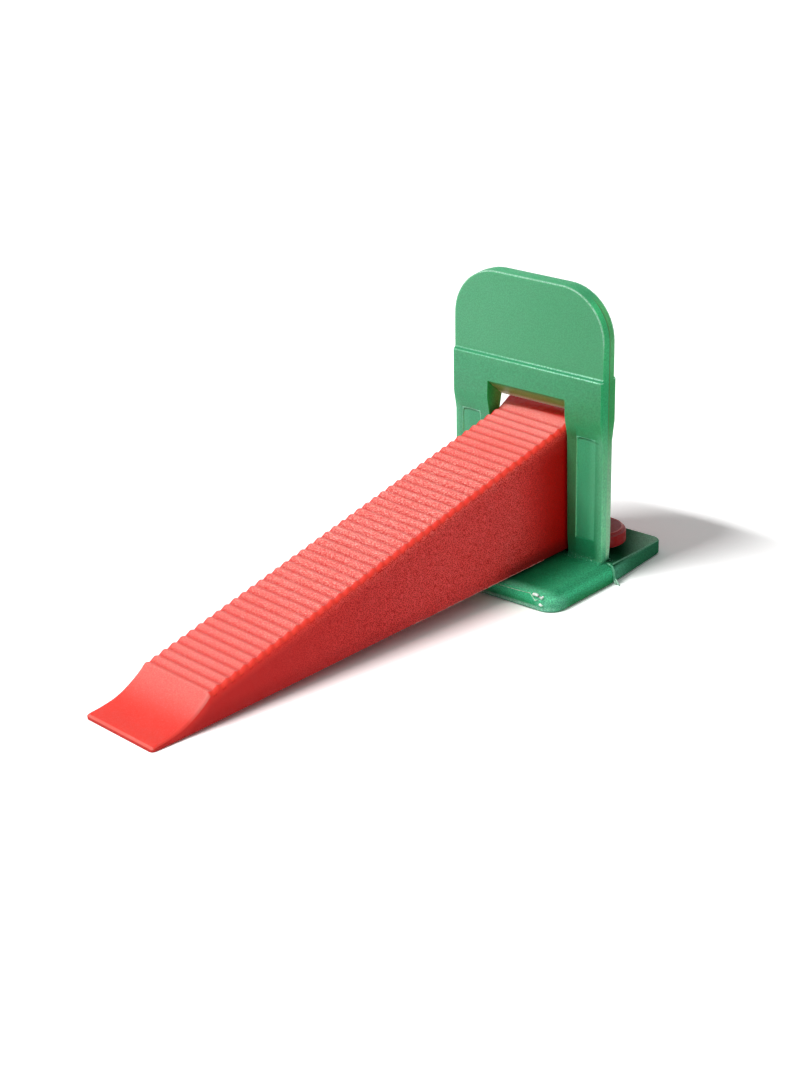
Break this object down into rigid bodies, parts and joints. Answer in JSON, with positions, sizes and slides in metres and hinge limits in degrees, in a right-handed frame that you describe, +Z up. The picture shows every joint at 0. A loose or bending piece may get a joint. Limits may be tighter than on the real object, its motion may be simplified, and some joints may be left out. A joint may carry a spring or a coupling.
{
  "type": "tile levelling clip",
  "caption": "Snap-off plastic tile levelling clip with a flat base plate, windowed upright and rounded head, and its serrated wedge driven home through the window.",
  "frame": {"origin": "on the floor plane, at the centre of the clip's base underside, below the middle of the upright", "axes": "+X across the clip to the right as seen from the wedge's nose side, +Y from the nose to the heel of the wedge, +Z up"},
  "size_m": [0.0334, 0.1037, 0.0495],
  "materials": {
    "clip_plastic": "translucent green, satin gloss",
    "wedge_plastic": "red, fine spark-eroded grain"
  },
  "bodies": {
    "clip": {"clip": "clip_plastic"},
    "wedge": {"wedge": "wedge_plastic"}
  },
  "joints": [
    {"name": "wedge_slide", "type": "slide", "parent": "clip", "child": "wedge", "axis": [0.1061, 0.9931, 0.0497], "range_m": [0, 0.086]}
  ]
}
